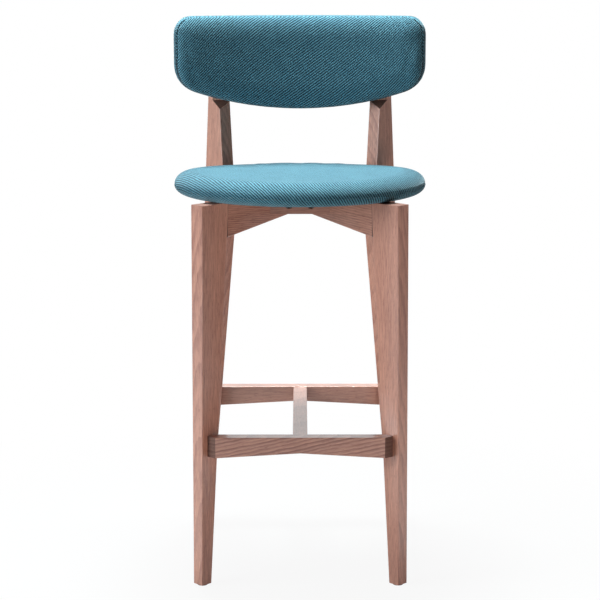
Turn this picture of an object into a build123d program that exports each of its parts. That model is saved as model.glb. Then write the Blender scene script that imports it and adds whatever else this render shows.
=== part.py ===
"""Upholstered bar stool with an X frame of leg boards, a footrest and a curved backrest.

Millimetres, +Z up, the sitter faces -Y. The origin is on the floor, in the middle of the stool's box.
Reaches are level distances from the stool's axis, which is the upright line through the rails' crossing.
"""

import os
from math import asin, atan, atan2, cos, pi, sin, sqrt, tan

from build123d import *

os.makedirs("parts", exist_ok=True)

# Heights: the footrest and the frame from the floor, the pads each from what is below them
glide_height = 2.5
footrest_top = 298.0
frame_top = 739.0
seat_depth = 44.0
back_gap = 104.0
back_height = 187.0
upright_stop = 66.0

# Leg boards: each stands on a diagonal, and its reach is to the outer edge, along that diagonal
front_foot_reach = 279.2
front_top_reach = 271.6
front_top_width = 67.8
rear_foot_reach = 304.4
rear_knee_width = 64.0
upright_wall = 16.6
upright_top_width = 21.0
foot_width = 24.4
foot_thickness = 24.8
leg_thickness = 30.8
upright_top_thickness = 28.4
leg_edge_round = 1.6
notch_run_height = 20.0
notch_run_depth = 22.0

# Cross rails and corner blocks
rail_thickness = 29.6
rail_end_depth = 66.0
rail_crossing_depth = 33.0
rail_edge_round = 1.5
lap_clearance = 0.15
block_reach = 78.0
block_depth = 34.0

# Footrest: each bar is set out from its legs' inner corners
front_bar_set_out = 7.7
rear_bar_set_out = 11.8
bar_depth = 26.4
bar_point_depth = 15.2
bar_end_height = 41.0
bar_rise = 10.3
centre_bar_width = 28.0
centre_bar_height = 26.0
centre_bar_drop = 1.0
bar_edge_round = 1.2

# Seat pad: the top round takes a share of the side's height, the bottom round a share of the rest
seat_width = 490.0
seat_front_reach = 238.0
seat_upright_gap = 15.8
seat_crown_rise = 7.0
seat_top_round_share = 0.57
seat_bottom_round_share = 0.8
cover_thickness = 1.6
soft_gap = 0.3
base_thickness = 12.0
base_inset = 14.0
cover_return = 40.0
staple_inset = 28.0
staple_count = 32
staple_clear_of_rail = 44.0

# Backrest pad: the rounds and the seam take shares of its edge's depth
back_width = 507.0
back_rear_reach = 178.0
back_curve_radius = 700.0
back_depth = 50.0
back_crown = 14.0
back_bow_radius = 668.0
back_top_corner = 38.0
back_bottom_corner = 60.0
back_front_round_share = 0.45
back_rear_round_share = 0.25
back_seam_share = 0.82
back_panel_thickness = 10.0
back_panel_inset = 12.0

# Dowels
rail_dowel_diameter = 8.0
rail_dowel_length = 36.0
rail_dowel_inset = 18.0
bar_dowel_diameter = 6.0
bar_dowel_length = 28.0
bar_dowel_inset = 12.0
centre_dowel_spacing = 14.0
dowel_fit = 0.1
dowel_end_room = 1.5

# Screws
screw_diameter = 4.0
screw_head_diameter = 8.0
screw_head_height = 3.0
screw_drive_width = 3.0
screw_drive_depth = 1.6
screw_clearance = 0.3
pocket_clearance = 0.8
block_screw_spacing = 42.0
block_screw_rise = 14.0
block_screw_bite = 19.5
block_pocket_depth = 9.0
back_screw_edge = 14.0
back_screw_stop = 24.0
back_screw_grip = 9.0
back_screw_bite = 8.5
plug_gap = 0.3
plug_fit = 0.1

# Seat bolts, washers and tee nuts
bolt_reach = 132.0
bolt_diameter = 6.0
bolt_seat_drop = 26.0
bolt_head_diameter = 10.0
bolt_head_height = 6.0
bolt_socket_width = 5.0
bolt_socket_depth = 3.0
bolt_clearance = 0.5
bolt_pocket_diameter = 14.0
bolt_end_room = 1.0
washer_diameter = 12.5
washer_thickness = 1.5
tee_flange_diameter = 19.0
tee_flange_thickness = 1.5
tee_barrel_diameter = 8.0
tee_end_room = 1.4
tee_fit = 0.1

# Staples, glides and nails
staple_width = 10.0
staple_wire = 0.9
staple_crown = 0.5
staple_leg = 7.0
staple_fit = 0.1
glide_diameter = 20.0
glide_round = 0.8
nail_diameter = 3.0
nail_length = 18.0
nail_head_diameter = 7.0
nail_head_height = 0.9
nail_head_sink = 0.5
nail_fit = 0.1

# Levels and places that follow from the sizes above
root_two = sqrt(2)
knee_level = frame_top - rail_end_depth
crossing_bottom = frame_top - rail_crossing_depth
lap_level = frame_top - rail_crossing_depth / 2
seat_top = frame_top + seat_depth
seat_underside = frame_top + soft_gap
base_bottom = seat_underside + cover_thickness + soft_gap
base_top = base_bottom + base_thickness
back_bottom = seat_top + back_gap
back_top = back_bottom + back_height
upright_top = back_top - upright_stop
rear_foot_corner = (rear_foot_reach + foot_thickness / 2) / root_two - leg_edge_round * (root_two - 1)
axis_y = (seat_front_reach - rear_foot_corner) / 2
back_centre_y = axis_y + back_rear_reach - back_curve_radius
panel_rear_radius = back_curve_radius - cover_thickness - soft_gap
panel_front_radius = panel_rear_radius - back_panel_thickness
notch_radius = back_curve_radius + soft_gap

# Holes that follow from what goes in them, and a length that runs past every piece
rail_peg_hole = rail_dowel_diameter + dowel_fit
rail_peg_run = rail_dowel_length + dowel_end_room
bar_peg_hole = bar_dowel_diameter + dowel_fit
bar_peg_run = bar_dowel_length + dowel_end_room
screw_hole = screw_diameter + screw_clearance
screw_pocket = screw_head_diameter + pocket_clearance
bolt_hole = bolt_diameter + bolt_clearance
staple_hole = staple_wire + staple_fit
nail_hole = nail_diameter + nail_fit
far = 2 * back_curve_radius

LEFT, RIGHT = -1, 1
FRONT, REAR = -1, 1
side_names = {LEFT: "left", RIGHT: "right"}
row_names = {FRONT: "front", REAR: "rear"}
corners = [(side, row) for side in (LEFT, RIGHT) for row in (FRONT, REAR)]


def save(name, builder):
    """Label a finished piece and write it."""
    builder.part.label = name
    export_step(builder.part, f"parts/{name}.step")


def back_reach_on_diagonal(radius):
    """Reach along a diagonal, from the axis, to an upright cylinder round the backrest's centre line."""
    offset = back_centre_y - axis_y
    return (root_two * offset + sqrt(4 * radius**2 - 2 * offset**2)) / 2


def bow_height(inset, x):
    """Level of the bow under the backrest, drawn in by an inset, at a distance from the middle."""
    return back_bottom + back_bow_radius - sqrt((back_bow_radius - inset) ** 2 - x**2)


notch_reach = back_reach_on_diagonal(notch_radius)
upright_top_reach = notch_reach + upright_wall
run_top = bow_height(0, (notch_reach - upright_top_thickness / 2) / root_two)


def between(level, low_level, low, high_level, high):
    """Straight-line value at a level, from its values at two other levels."""
    return low + (high - low) * (level - low_level) / (high_level - low_level)


def outer_reach(row, level):
    if row == FRONT:
        return between(level, glide_height, front_foot_reach, frame_top, front_top_reach)
    return between(level, glide_height, rear_foot_reach, upright_top, upright_top_reach)


def inner_reach(row, level):
    if row == FRONT:
        top_inner = front_top_reach - front_top_width
        return between(level, glide_height, front_foot_reach - foot_width, frame_top, top_inner)
    knee_inner = outer_reach(REAR, knee_level) - rear_knee_width
    if level <= knee_level:
        return between(level, glide_height, rear_foot_reach - foot_width, knee_level, knee_inner)
    return between(level, knee_level, knee_inner, upright_top, upright_top_reach - upright_top_width)


def board_thickness(row, level):
    if row == FRONT:
        return between(level, glide_height, foot_thickness, frame_top, leg_thickness)
    if level <= knee_level:
        return between(level, glide_height, foot_thickness, knee_level, leg_thickness)
    return between(level, knee_level, leg_thickness, upright_top, upright_top_thickness)


def outward(side, row):
    """Level direction from the axis to a leg."""
    return Vector(side, row, 0) / root_two


def on_diagonal(side, row, reach, level):
    return Vector(0, axis_y, level) + outward(side, row) * reach


def cross_plane(side, row, level):
    """Level plane at a height, with its X from the axis towards a leg."""
    return Plane(origin=(0, axis_y, level), x_dir=outward(side, row), z_dir=(0, 0, 1))


def pegs(planes, diameter, length, mode=Mode.ADD):
    """Round pegs, or holes for them, half on each side of their joint planes."""
    with Locations(*planes):
        Cylinder(diameter / 2, length, mode=mode)


def rods(planes, diameter, length, mode=Mode.ADD):
    """Round rods, or holes, that run from their planes along the planes' normals."""
    with Locations(*planes):
        Cylinder(diameter / 2, length, align=(Align.CENTER, Align.CENTER, Align.MIN), mode=mode)


def rail_dowel_planes(side, row):
    """Joints between a rail's end and a leg's inner edge."""
    levels = (frame_top - rail_dowel_inset, knee_level + rail_dowel_inset)
    places = [on_diagonal(side, row, inner_reach(row, level), level) for level in levels]
    return [Plane(origin=place, z_dir=outward(side, row)) for place in places]


def bar_reach(row):
    """How far in front of or behind the axis a footrest bar's outer face is."""
    level = footrest_top - bar_end_height / 2
    leg_corner = (inner_reach(row, level) + board_thickness(row, level) / 2) / root_two
    set_out = front_bar_set_out if row == FRONT else rear_bar_set_out
    return leg_corner + set_out + bar_depth


def bar_normal(side, row):
    """Level direction out of the leg's broad face that a footrest bar lies on."""
    return Vector(-side, row, 0) / root_two


def bar_face_x(row, reach, level):
    """How far from the middle a leg's broad face is, at a given reach to the front or rear."""
    return reach - board_thickness(row, level) / root_two


def bar_seat_plane(side, row):
    """The leg's broad face that carries a footrest bar, which leans with the leg's taper."""
    level = footrest_top - bar_end_height / 2
    reach = bar_reach(row) - bar_point_depth
    top_level = frame_top if row == FRONT else knee_level
    lean = atan((leg_thickness - foot_thickness) / 2 / (top_level - glide_height))
    place = Vector(side * bar_face_x(row, reach, level), axis_y + row * reach, level)
    facing = bar_normal(side, row) * cos(lean) - Vector(0, 0, sin(lean))
    return Plane(origin=place, x_dir=outward(side, row), z_dir=facing)


def bar_dowel_planes(side, row):
    """Joints between a footrest bar's end and the leg's broad face."""
    reach = bar_reach(row) - (bar_point_depth + bar_depth) / 2
    planes = []
    for drop in (bar_dowel_inset, bar_end_height - bar_dowel_inset):
        level = footrest_top - drop
        place = Vector(side * bar_face_x(row, reach, level), axis_y + row * reach, level)
        planes.append(Plane(origin=place, z_dir=bar_normal(side, row)))
    return planes


def bar_inner_y(row):
    return axis_y + row * (bar_reach(row) - bar_depth)


def centre_dowel_planes(row):
    """Joints between the centre bar's end and a footrest bar."""
    level = footrest_top - centre_bar_drop - centre_bar_height / 2
    places = [(side * centre_dowel_spacing / 2, bar_inner_y(row), level) for side in (LEFT, RIGHT)]
    return [Plane(origin=place, z_dir=(0, 1, 0)) for place in places]


def foot_plane(side, row, level):
    """Level plane under the middle of a foot."""
    foot_middle = outer_reach(row, glide_height) - foot_width / 2
    return Plane(origin=on_diagonal(side, row, foot_middle, level))


def bolt_plane(side, row, level):
    """Level plane on the upright line of a seat bolt."""
    return Plane(origin=on_diagonal(side, row, bolt_reach, level))


def bolt_planes(level):
    return [bolt_plane(side, row, level) for side, row in corners]


def block_screw_plane(side, row, along):
    """Slanting line of a corner block's screw, at a distance in from the block's outer face."""
    direction = Vector(side, -row, 0) / root_two
    mouth_level = crossing_bottom + block_screw_rise
    mouth = Vector(side * block_screw_spacing / 2, axis_y + row * block_reach, mouth_level)
    return Plane(origin=mouth + direction * along, z_dir=direction)


block_screw_entry = (block_reach - block_screw_spacing / 2) / root_two - rail_thickness / 2
block_screw_length = block_screw_entry + block_screw_bite - block_pocket_depth
back_screw_tip = back_reach_on_diagonal(panel_rear_radius) - back_screw_bite
back_screw_seat = notch_reach + back_screw_grip
back_screw_low = bow_height(back_panel_inset, notch_reach / root_two) + back_screw_edge
back_screw_levels = (back_screw_low, upright_top - back_screw_stop)


def back_screw_planes(side, reach):
    places = [on_diagonal(side, REAR, reach, level) for level in back_screw_levels]
    return [Plane(origin=place, z_dir=outward(side, REAR)) for place in places]


# Legs: tapering boards, the rear ones widest at the rails and notched for the backrest
leg_levels = {FRONT: (glide_height, frame_top), REAR: (glide_height, knee_level, upright_top)}

for side, row in corners:
    with BuildPart() as leg:
        for level in leg_levels[row]:
            inner, outer = inner_reach(row, level), outer_reach(row, level)
            with BuildSketch(cross_plane(side, row, level)):
                with Locations(((inner + outer) / 2, 0)):
                    RectangleRounded(outer - inner, board_thickness(row, level), leg_edge_round)
        loft(ruled=True)
        pegs(rail_dowel_planes(side, row), rail_peg_hole, rail_peg_run, Mode.SUBTRACT)
        pegs(bar_dowel_planes(side, row), bar_peg_hole, bar_peg_run, Mode.SUBTRACT)
        nail_start = foot_plane(side, row, nail_head_sink)
        rods([nail_start], nail_hole, nail_length + dowel_end_room, Mode.SUBTRACT)
        if row == REAR:
            rods([Plane(origin=(0, back_centre_y, run_top))], 2 * notch_radius, far, Mode.SUBTRACT)
            with Locations((0, back_centre_y, run_top)):
                Cone(
                    notch_radius - notch_run_depth,
                    notch_radius,
                    notch_run_height,
                    align=(Align.CENTER, Align.CENTER, Align.MAX),
                    mode=Mode.SUBTRACT,
                )
            rods(back_screw_planes(side, back_screw_tip), screw_hole, far, Mode.SUBTRACT)
            rods(back_screw_planes(side, back_screw_seat), screw_pocket, far, Mode.SUBTRACT)
    save(f"{row_names[row]}_{side_names[side]}_leg", leg)

# Cross rails: each runs from a front leg to the rear leg on the other side, halved over its fellow
lap_width = rail_thickness + 2 * lap_clearance

for side in (LEFT, RIGHT):
    front_side, rear_side = side, -side
    direction = outward(rear_side, REAR)
    rail_plane = Plane(origin=(0, axis_y, 0), x_dir=direction, z_dir=direction.cross(Vector(0, 0, 1)))
    with BuildPart() as rail:
        with BuildSketch(rail_plane):
            with BuildLine():
                Polyline(
                    (-inner_reach(FRONT, frame_top), frame_top),
                    (inner_reach(REAR, frame_top), frame_top),
                    (inner_reach(REAR, knee_level), knee_level),
                    (rail_thickness / 2, crossing_bottom),
                    (-rail_thickness / 2, crossing_bottom),
                    (-inner_reach(FRONT, knee_level), knee_level),
                    close=True,
                )
            make_face()
        extrude(amount=rail_thickness / 2, both=True)
        low_edges = [edge for edge in rail.edges() if edge.center().Z < lap_level]
        under_edges = [edge for edge in low_edges if abs(direction.dot(edge % 0.5)) > 1 / root_two]
        fillet(under_edges, rail_edge_round)
        notch_bottom, notch_top = (lap_level, frame_top) if side == LEFT else (crossing_bottom, lap_level)
        with BuildSketch(cross_plane(rear_side, REAR, notch_bottom)):
            Rectangle(lap_width, 2 * rail_thickness)
        extrude(amount=notch_top - notch_bottom, mode=Mode.SUBTRACT)
        joints = rail_dowel_planes(front_side, FRONT) + rail_dowel_planes(rear_side, REAR)
        pegs(joints, rail_peg_hole, rail_peg_run, Mode.SUBTRACT)
        for end_side, row in ((front_side, FRONT), (rear_side, REAR)):
            seat_plane = bolt_plane(end_side, row, frame_top - bolt_seat_drop)
            rods([seat_plane], bolt_hole, bolt_seat_drop, Mode.SUBTRACT)
            rods([-seat_plane], bolt_pocket_diameter, rail_end_depth, Mode.SUBTRACT)
        screw_lines = [
            block_screw_plane(front_side, FRONT, block_pocket_depth),
            block_screw_plane(rear_side, REAR, block_pocket_depth),
        ]
        rods(screw_lines, screw_hole, block_screw_length, Mode.SUBTRACT)
    save(f"cross_rail_{side_names[side]}", rail)

with BuildPart() as rail_dowels:
    for side, row in corners:
        pegs(rail_dowel_planes(side, row), rail_dowel_diameter, rail_dowel_length)
save("rail_dowels", rail_dowels)

# Corner blocks in front of and behind the crossing, cut to fit between the rails
for row in (FRONT, REAR):
    face_half = block_reach - rail_thickness / root_two
    inner_half = face_half - block_depth
    face_y = axis_y + row * block_reach
    inner_y = axis_y + row * (block_reach - block_depth)
    with BuildPart() as block:
        with BuildSketch(Plane.XY.offset(crossing_bottom)):
            with BuildLine():
                Polyline(
                    (-face_half, face_y),
                    (face_half, face_y),
                    (inner_half, inner_y),
                    (-inner_half, inner_y),
                    close=True,
                )
            make_face()
        extrude(amount=rail_crossing_depth)
        for side in (LEFT, RIGHT):
            mouth = block_screw_plane(side, row, -block_pocket_depth)
            rods([mouth], screw_pocket, 2 * block_pocket_depth, Mode.SUBTRACT)
            shank = block_screw_plane(side, row, 0)
            rods([shank], screw_hole, block_screw_length, Mode.SUBTRACT)
    save(f"{row_names[row]}_corner_block", block)


def screw(seat_plane, length):
    """A wood screw with a square drive: its head stands on a plane and its shank runs along the normal."""
    head_plane = -seat_plane
    rods([seat_plane], screw_diameter, length)
    rods([head_plane], screw_head_diameter, screw_head_height)
    with Locations(head_plane.offset(screw_head_height)):
        Box(screw_drive_width, screw_drive_width, 2 * screw_drive_depth, mode=Mode.SUBTRACT)


with BuildPart() as block_screws:
    for side, row in corners:
        screw(block_screw_plane(side, row, block_pocket_depth), block_screw_length)
save("block_screws", block_screws)

# Footrest: two bars on the legs' broad faces, pointed at their ends, and a bar between them
for row in (FRONT, REAR):
    middle_level = footrest_top - bar_end_height / 2
    tip_reach = bar_reach(row) - bar_point_depth
    tip_x = bar_face_x(row, tip_reach, middle_level)
    face_half = tip_x - bar_point_depth
    bar_bottom = footrest_top - bar_end_height
    with BuildPart() as bar:
        with BuildSketch(Plane.XY.offset(bar_bottom)):
            with BuildLine():
                Polyline(
                    (-face_half, axis_y + row * bar_reach(row)),
                    (face_half, axis_y + row * bar_reach(row)),
                    (face_half + bar_depth, bar_inner_y(row)),
                    (-face_half - bar_depth, bar_inner_y(row)),
                    close=True,
                )
            make_face()
        extrude(amount=bar_end_height)
        with BuildSketch(Plane.XZ):
            with BuildLine():
                Polyline((-tip_x, bar_bottom), (0, bar_bottom + bar_rise), (tip_x, bar_bottom), close=True)
            make_face()
        extrude(amount=far, both=True, mode=Mode.SUBTRACT)
        for side in (LEFT, RIGHT):
            split(bisect_by=bar_seat_plane(side, row), keep=Keep.TOP)
        long_edges = [edge for edge in bar.edges() if edge.length > tip_x / 2]
        fillet(long_edges, bar_edge_round)
        joints = bar_dowel_planes(LEFT, row) + bar_dowel_planes(RIGHT, row) + centre_dowel_planes(row)
        pegs(joints, bar_peg_hole, bar_peg_run, Mode.SUBTRACT)
    save(f"footrest_{row_names[row]}_bar", bar)

with BuildPart() as footrest_dowels:
    for side, row in corners:
        pegs(bar_dowel_planes(side, row), bar_dowel_diameter, bar_dowel_length)
save("footrest_dowels", footrest_dowels)

with BuildPart() as centre_bar:
    with BuildSketch(Plane.XY.offset(footrest_top - centre_bar_drop - centre_bar_height)):
        with Locations((0, (bar_inner_y(FRONT) + bar_inner_y(REAR)) / 2)):
            Rectangle(centre_bar_width, bar_inner_y(REAR) - bar_inner_y(FRONT))
    extrude(amount=centre_bar_height)
    fillet(centre_bar.edges().filter_by(Axis.Y), bar_edge_round)
    joints = centre_dowel_planes(FRONT) + centre_dowel_planes(REAR)
    pegs(joints, bar_peg_hole, bar_peg_run, Mode.SUBTRACT)
save("footrest_centre_bar", centre_bar)

with BuildPart() as centre_bar_dowels:
    for row in (FRONT, REAR):
        pegs(centre_dowel_planes(row), bar_dowel_diameter, bar_dowel_length)
save("centre_bar_dowels", centre_bar_dowels)

# Glides under the feet, and the nails that hold them
with BuildPart() as foot_glides:
    floor_planes = [foot_plane(side, row, 0) for side, row in corners]
    rods(floor_planes, glide_diameter, glide_height)
    fillet(foot_glides.edges().group_by(Axis.Z)[0], glide_round)
    rods(floor_planes, nail_head_diameter + nail_fit, nail_head_sink + nail_head_height, Mode.SUBTRACT)
    rods(floor_planes, nail_hole, glide_height, Mode.SUBTRACT)
save("foot_glides", foot_glides)

with BuildPart() as glide_nails:
    nail_planes = [foot_plane(side, row, nail_head_sink) for side, row in corners]
    rods(nail_planes, nail_head_diameter, nail_head_height)
    rods(nail_planes, nail_diameter, nail_length)
save("glide_nails", glide_nails)


# The seat's rear half oval passes the uprights by its gap
seat_diagonal_reach = inner_reach(REAR, frame_top) - seat_upright_gap
seat_rear_reach = 1 / sqrt(2 / seat_diagonal_reach**2 - 4 / seat_width**2)
seat_side_height = seat_top - seat_underside - seat_crown_rise
seat_top_round = seat_top_round_share * seat_side_height
seat_bottom_round = seat_bottom_round_share * (seat_side_height - seat_top_round)


def seat_outline(inset, level):
    """Plan of the seat pad, drawn in by an inset: a deep half oval in front and a shallow one behind."""
    across = seat_width / 2 - inset
    centre = (0, axis_y)
    with BuildSketch(Plane.XY.offset(level)) as outline:
        with BuildLine():
            for start in (0, 90):
                EllipticalCenterArc(centre, across, seat_rear_reach - inset, start, arc_size=90)
            for start in (180, 270):
                EllipticalCenterArc(centre, across, seat_front_reach - inset, start, arc_size=90)
        make_face()
    return outline.sketch


def seat_form(inset):
    """The seat pad's body, drawn in by an inset: crowned on top, its sides rounded in above and below."""
    crown_radius = ((seat_width / 2) ** 2 + seat_crown_rise**2) / (2 * seat_crown_rise)
    with BuildPart() as form:
        extrude(seat_outline(inset, seat_underside + inset), amount=seat_top - seat_underside)
        with Locations((0, axis_y, seat_top - crown_radius)):
            Sphere(crown_radius - inset, rotation=(90, 0, 0), mode=Mode.INTERSECT)
        fillet(form.faces().sort_by(Axis.Z)[-1].edges(), seat_top_round - inset)
        fillet(form.faces().sort_by(Axis.Z)[0].edges(), seat_bottom_round - inset)
    return form.part


def staple_planes():
    """Places of the staples round the seat's underside, clear of the rails and legs."""
    across = seat_width / 2 - staple_inset
    planes = []
    for index in range(staple_count):
        turn = 2 * pi * (index + 0.5) / staple_count
        along = (seat_rear_reach if sin(turn) > 0 else seat_front_reach) - staple_inset
        x, y = across * cos(turn), along * sin(turn)
        if abs(abs(x) - abs(y)) > staple_clear_of_rail:
            tangent = (-across * sin(turn), along * cos(turn), 0)
            planes.append(Plane(origin=(x, axis_y + y, seat_underside), x_dir=tangent, z_dir=(0, 0, 1)))
    return planes


def staple_legs(wire, mode=Mode.ADD):
    leg_offset = (staple_width - staple_wire) / 2
    with Locations(*staple_planes()):
        with Locations((-leg_offset, 0), (leg_offset, 0)):
            Box(wire, wire, staple_leg, align=(Align.CENTER, Align.CENTER, Align.MIN), mode=mode)


# Seat pad: plywood base, foam, cover, dust cover and staples
flange_level = base_top - tee_fit - tee_flange_thickness

with BuildPart() as seat_base:
    extrude(seat_outline(base_inset, base_bottom), amount=base_thickness)
    rods(bolt_planes(base_bottom), tee_barrel_diameter + tee_fit, base_thickness, Mode.SUBTRACT)
    rods(bolt_planes(flange_level), tee_flange_diameter + tee_fit, base_thickness, Mode.SUBTRACT)
    staple_legs(staple_hole, Mode.SUBTRACT)
save("seat_base", seat_base)

with BuildPart() as seat_foam:
    add(seat_form(cover_thickness + soft_gap))
    split(bisect_by=Plane.XY.offset(base_top + soft_gap), keep=Keep.TOP)
save("seat_foam", seat_foam)

with BuildPart() as seat_cover:
    add(seat_form(0))
    add(seat_form(cover_thickness), mode=Mode.SUBTRACT)
    extrude(seat_outline(cover_return, seat_underside), amount=cover_thickness, mode=Mode.SUBTRACT)
    staple_legs(staple_hole, Mode.SUBTRACT)
save("seat_cover", seat_cover)

with BuildPart() as seat_dust_cover:
    extrude(seat_outline(cover_return + soft_gap, seat_underside), amount=cover_thickness)
    rods(bolt_planes(seat_underside), bolt_hole, cover_thickness, Mode.SUBTRACT)
save("seat_dust_cover", seat_dust_cover)

with BuildPart() as seat_staples:
    with Locations(*staple_planes()):
        Box(staple_width, staple_wire, staple_crown, align=(Align.CENTER, Align.CENTER, Align.MAX))
    staple_legs(staple_wire)
save("seat_staples", seat_staples)

# Seat fixings: bolts up through the rails into tee nuts in the base
washer_level = frame_top - bolt_seat_drop - washer_thickness
bolt_top = base_top - bolt_end_room

with BuildPart() as seat_tee_nuts:
    barrel_bottom = base_bottom + tee_end_room
    rods(bolt_planes(flange_level), tee_flange_diameter, tee_flange_thickness)
    rods(bolt_planes(barrel_bottom), tee_barrel_diameter, flange_level - barrel_bottom)
    rods(bolt_planes(base_bottom), bolt_diameter + tee_fit, base_thickness, Mode.SUBTRACT)
save("seat_tee_nuts", seat_tee_nuts)

with BuildPart() as seat_washers:
    rods(bolt_planes(washer_level), washer_diameter, washer_thickness)
    rods(bolt_planes(washer_level), bolt_hole, washer_thickness, Mode.SUBTRACT)
save("seat_washers", seat_washers)

with BuildPart() as seat_bolts:
    head_bottom = washer_level - bolt_head_height
    rods(bolt_planes(washer_level), bolt_diameter, bolt_top - washer_level)
    rods(bolt_planes(head_bottom), bolt_head_diameter, bolt_head_height)
    with BuildSketch(*bolt_planes(head_bottom)):
        RegularPolygon(bolt_socket_width / 2, 6, major_radius=False)
    extrude(amount=bolt_socket_depth, mode=Mode.SUBTRACT)
save("seat_bolts", seat_bolts)


back_edge_depth = back_depth - back_crown


def back_outline(inset, distance):
    """Front view of the backrest pad, drawn in by an inset: straight on top and bowed below.

    Its width grows with the distance from the curve's centre, so the pad's ends stand square to its curve.
    """
    half = distance * tan(asin(back_width / 2 / back_curve_radius))
    top_corner = back_top_corner - inset
    bottom_corner = back_bottom_corner - inset
    bow_level = back_bottom + back_bow_radius
    corner_x = half - back_bottom_corner
    corner_z = bow_level - sqrt((back_bow_radius - back_bottom_corner) ** 2 - corner_x**2)
    turn = atan2(corner_z - bow_level, corner_x)
    bow_end = (corner_x + bottom_corner * cos(turn), corner_z + bottom_corner * sin(turn))
    bend = (corner_x + bottom_corner * cos(turn / 2), corner_z + bottom_corner * sin(turn / 2))
    top_x = half - back_top_corner
    top_z = back_top - back_top_corner
    shoulder = (top_x + top_corner / root_two, top_z + top_corner / root_two)
    front_view = Plane(origin=(0, back_centre_y + distance, 0), x_dir=(1, 0, 0), z_dir=(0, -1, 0))
    with BuildSketch(front_view) as outline:
        with BuildLine() as edge:
            Line((0, back_top - inset), (top_x, back_top - inset))
            ThreePointArc((top_x, back_top - inset), shoulder, (half - inset, top_z))
            Line((half - inset, top_z), (half - inset, corner_z))
            ThreePointArc((half - inset, corner_z), bend, bow_end)
            bow_radius = back_bow_radius - inset
            bow_turn = (turn - pi / 2) / 2
            bow_half = (bow_radius * cos(bow_turn), bow_level + bow_radius * sin(bow_turn))
            ThreePointArc(bow_end, bow_half, (0, back_bottom + inset))
            mirror(edge.line, about=Plane.YZ)
        make_face()
    return outline.sketch


def back_wedge(inset):
    """Solid between the outline well in front of the backrest and the outline behind it."""
    distances = (back_curve_radius - 4 * back_depth, back_curve_radius + back_depth)
    with BuildPart() as wedge:
        loft([back_outline(inset, distance) for distance in distances], ruled=True)
    return wedge.part


def back_cylinder(radius, mode):
    """Upright cylinder round the backrest's centre line."""
    with Locations((0, back_centre_y, (back_top + back_bottom) / 2)):
        Cylinder(radius, 2 * back_height, mode=mode)


def back_form(inset):
    """The backrest pad's body, drawn in by an inset: curved round the sitter, crowned in front."""
    half_height = back_height / 2
    crown_radius = (half_height**2 + back_crown**2) / (2 * back_crown)
    crown_centre = back_curve_radius - back_depth + crown_radius
    front = back_curve_radius - back_depth + inset
    rear = back_curve_radius - inset
    reach_up = half_height + back_crown
    front_end = crown_centre - sqrt((crown_radius - inset) ** 2 - reach_up**2)
    middle = back_bottom + half_height
    low, high = middle - reach_up, middle + reach_up
    with BuildPart() as form:
        with BuildSketch(Plane(origin=(0, back_centre_y, 0), x_dir=(0, -1, 0), z_dir=(-1, 0, 0))):
            with BuildLine():
                ThreePointArc((front_end, low), (front, middle), (front_end, high))
                Polyline((front_end, high), (rear, high), (rear, low), (front_end, low))
            make_face()
        revolve(axis=Axis((0, back_centre_y, 0), (0, 0, 1)))
        add(back_wedge(inset), mode=Mode.INTERSECT)
        broad_faces = form.faces().sort_by(SortBy.AREA)[-2:].sort_by(Axis.Y)
        fillet(broad_faces[0].edges(), back_front_round_share * back_edge_depth - inset)
        broad_faces = form.faces().sort_by(SortBy.AREA)[-2:].sort_by(Axis.Y)
        fillet(broad_faces[1].edges(), back_rear_round_share * back_edge_depth - inset)
    return form.part


# Backrest pad: curved plywood panel, foam, and a cover sewn from a front and a rear shell
seam_radius = back_curve_radius - back_seam_share * back_edge_depth

with BuildPart() as back_panel:
    add(back_wedge(back_panel_inset))
    back_cylinder(panel_rear_radius, Mode.INTERSECT)
    back_cylinder(panel_front_radius, Mode.SUBTRACT)
    for side in (LEFT, RIGHT):
        rods(back_screw_planes(side, back_screw_tip), screw_hole, far, Mode.SUBTRACT)
save("back_panel", back_panel)

with BuildPart() as back_foam:
    add(back_form(cover_thickness + soft_gap))
    back_cylinder(panel_front_radius - soft_gap, Mode.INTERSECT)
save("back_foam", back_foam)

with BuildPart() as back_cover_front:
    add(back_form(0))
    add(back_form(cover_thickness), mode=Mode.SUBTRACT)
    back_cylinder(seam_radius, Mode.INTERSECT)
save("back_cover_front", back_cover_front)

with BuildPart() as back_cover_rear:
    add(back_form(0))
    add(back_form(cover_thickness), mode=Mode.SUBTRACT)
    back_cylinder(seam_radius, Mode.SUBTRACT)
    for side in (LEFT, RIGHT):
        rods(back_screw_planes(side, back_screw_tip), screw_hole, far, Mode.SUBTRACT)
save("back_cover_rear", back_cover_rear)

# Backrest fixings: screws from the uprights' outer edges, under wooden plugs
with BuildPart() as back_screws:
    for side in (LEFT, RIGHT):
        for plane in back_screw_planes(side, back_screw_seat):
            screw(-plane, back_screw_seat - back_screw_tip)
save("back_screws", back_screws)

with BuildPart() as back_screw_plugs:
    plug_start = back_screw_seat + screw_head_height + plug_gap
    for side in (LEFT, RIGHT):
        for plane, level in zip(back_screw_planes(side, plug_start), back_screw_levels):
            plug_length = outer_reach(REAR, level) - plug_gap - plug_start
            rods([plane], screw_pocket - plug_fit, plug_length)
save("back_screw_plugs", back_screw_plugs)
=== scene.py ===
"""Looks of the bar stool: foam pads in twill, stained boards, fixings, and the studio they stand in."""

from math import asin, cos, pi, radians, sin

import bpy
import numpy as np
from mathutils import Matrix, Vector


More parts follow.
